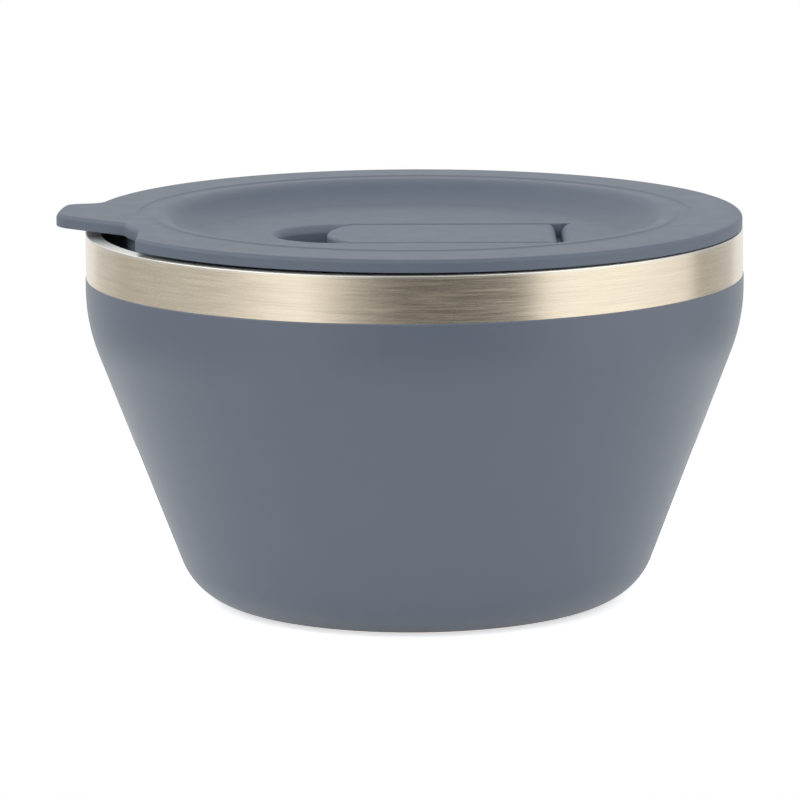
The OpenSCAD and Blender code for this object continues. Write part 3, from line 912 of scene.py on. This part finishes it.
def getter_metal():
    """Dark sintered metal with open pores."""
    material, tree, shader = new_finish("getter_metal", metallic=0.7)
    pores = noise(tree, 0.2 * MM, 4.0)
    tree.links.new(tint(tree, pores, (0.07, 0.07, 0.075), (0.17, 0.17, 0.18)), shader.inputs["Base Color"])
    tree.links.new(spread(tree, pores, 0.6, 0.85), shader.inputs["Roughness"])
    bumps(tree, shader, pores, 0.04 * MM)
    return material


def dress_bowl():
    """The bowl's pieces, with its inner solids in better finishes."""
    steel, satin = shell_steel(), base_steel()
    for piece, node, slot, finish in (
            (make_shell(), "outer_shell", "brushed_shell", steel),
            (make_coat(), "powder_coat", "coat", powder_coat()),
            (make_liner(), "inner_bowl", "liner_steel", liner_steel()),
            (make_foot_cover(), "base_cover", "base_steel", satin)):
        smooth(piece)
        hand_over(piece, "bowl", node, finish)
    for node, finish in (("base_plate", satin), ("getter_clip", satin),
                         ("vacuum_seal", seal_metal()), ("getter", getter_metal())):
        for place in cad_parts[node].material_slots:
            place.material = finish


def dress_lid():
    """The lid with its gasket, and the flap with its stopper, laid in the bowl's mouth."""
    plastic, soft = lid_plastic(), silicone()
    for piece, body, node, slot, finish in (
            (make_lid(), "lid", "lid_cover", "lid_plastic", plastic),
            (make_gasket(), "lid", "lid_gasket", "silicone", soft),
            (make_flap(), "vent_flap", "vent_flap", "lid_plastic", plastic),
            (make_stopper(), "vent_flap", "vent_stopper", "silicone", soft)):
        smooth(piece)
        put_on_bowl(piece)
        hand_over(piece, body, node, finish)


def hand_over(piece, body, node, finish):
    """Gives a piece its finish and its body, and hides the solid that it stands for."""
    piece.data.materials.clear()
    piece.data.materials.append(finish)
    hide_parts(node)
    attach(piece, body)


def lay_floor():
    """A white round floor that keeps a narrow shadow under the bowl, and that shows from above only."""
    bpy.ops.object.select_all(action="DESELECT")
    bpy.ops.mesh.primitive_circle_add(vertices=96, radius=FLOOR_R, fill_type="NGON", location=(0, 0, 0))
    floor = bpy.context.object
    floor.name = "floor"
    material = bpy.data.materials.new("floor_white")
    material.use_nodes = True
    tree = material.node_tree
    tree.nodes.clear()
    path = add(tree, "LightPath")
    seen = add(tree, "Math", {0: path.outputs["Is Camera Ray"], 1: path.outputs["Is Transmission Ray"]},
               operation="MAXIMUM")
    mirrored = add(tree, "Math", {0: path.outputs["Is Glossy Ray"], 1: FLOOR_LIFT_MIRRORED},
                   operation="MULTIPLY")
    paper = add(tree, "BsdfDiffuse", {"Color": FLOOR_COLOUR})
    lift = add(tree, "Math", {0: seen.outputs[0], 1: FLOOR_LIFT, 2: mirrored.outputs[0]},
               operation="MULTIPLY_ADD")
    glow = add(tree, "Emission", {"Strength": lift.outputs[0]})
    both = add(tree, "AddShader", {0: paper.outputs[0], 1: glow.outputs[0]})
    clear = add(tree, "BsdfTransparent")
    under = add(tree, "NewGeometry")
    side = add(tree, "MixShader", {0: under.outputs["Backfacing"], 1: both.outputs[0], 2: clear.outputs[0]})
    add(tree, "OutputMaterial", {"Surface": side.outputs[0]})
    floor.data.materials.append(material)


def ring_of_light(tree, share, stops):
    """Light levels round the room, blended from stop to stop."""
    ramp = add(tree, "ValToRGB", {0: share})
    levels = ramp.color_ramp.elements
    while len(levels) < len(stops):
        levels.new(0.5)
    for element, (degrees, level) in zip(levels, stops):
        element.position = degrees / 360 + 0.5
        element.color = (level, level, level, 1)
    return ramp.outputs[0]


def give_way(tree, height, start, full, below, above):
    """One light that gives way to another between two heights."""
    share = add(tree, "MapRange", {0: height, 1: start, 2: full}, interpolation_type="SMOOTHSTEP").outputs[0]
    return add(tree, "Mix", {0: share, 6: below, 7: above}, data_type="RGBA").outputs[2]


def light_studio():
    """Soft boxes round a dark room, softer light higher up and from above, and a white backdrop."""
    world = bpy.data.worlds.new("studio")
    bpy.context.scene.world = world
    world.use_nodes = True
    tree = world.node_tree
    tree.nodes.clear()
    way = add(tree, "TexCoord").outputs["Generated"]
    axes = add(tree, "SeparateXYZ", {0: way})
    height = axes.outputs[2]
    ahead = add(tree, "Math", {0: axes.outputs[1], 1: -1.0}, operation="MULTIPLY")
    turn = add(tree, "Math", {0: axes.outputs[0], 1: ahead.outputs[0]}, operation="ARCTAN2").outputs[0]
    share = add(tree, "MapRange", {0: turn, 1: -math.pi, 2: math.pi}).outputs[0]
    low, high = ring_of_light(tree, share, LOW_LIGHT), ring_of_light(tree, share, HIGH_LIGHT)
    sides = give_way(tree, height, HIGH_FROM, HIGH_FULL, low, high)
    light = give_way(tree, height, TOP_FROM, TOP_FULL, sides, (TOP_LIGHT, TOP_LIGHT, TOP_LIGHT, 1))
    room = add(tree, "Background", {"Color": light})
    white = add(tree, "Background", {"Color": (1, 1, 1, 1)})
    # The eye and clear things see white all round, and metal sees it where the backdrop is
    path = add(tree, "LightPath")
    aside = add(tree, "Math", {0: turn}, operation="ABSOLUTE")
    behind = add(tree, "Math", {0: aside.outputs[0], 1: math.radians(BACKDROP_FROM)},
                 operation="GREATER_THAN")
    mirrored = add(tree, "Math", {0: path.outputs["Is Glossy Ray"], 1: behind.outputs[0]},
                   operation="MULTIPLY")
    seen = add(tree, "Math", {0: path.outputs["Is Camera Ray"], 1: path.outputs["Is Transmission Ray"]},
               operation="MAXIMUM")
    seen = add(tree, "Math", {0: seen.outputs[0], 1: mirrored.outputs[0]}, operation="MAXIMUM")
    both = add(tree, "MixShader", {0: seen.outputs[0], 1: room.outputs[0], 2: white.outputs[0]})
    add(tree, "OutputWorld", {"Surface": both.outputs[0]})


def place_camera():
    """The photograph's camera: far off, a little above the lid, with a long lens."""
    data = bpy.data.cameras.new("camera")
    camera = bpy.data.objects.new("camera", data)
    bpy.context.scene.collection.objects.link(camera)
    data.sensor_width = CAMERA_SENSOR
    data.lens = CAMERA_LENS
    data.clip_end = CAMERA_SIGHT
    pitch, yaw, roll = (math.radians(a) for a in CAMERA_TURN)
    camera.matrix_world = (Matrix.Translation(CAMERA_AT) @ Matrix.Rotation(yaw, 4, "Z")
                           @ Matrix.Rotation(math.pi / 2 - pitch, 4, "X") @ Matrix.Rotation(roll, 4, "Z"))
    bpy.context.scene.camera = camera


dress_bowl()
dress_lid()
lay_floor()
light_studio()
place_camera()
bpy.context.scene.view_settings.view_transform = "Standard"
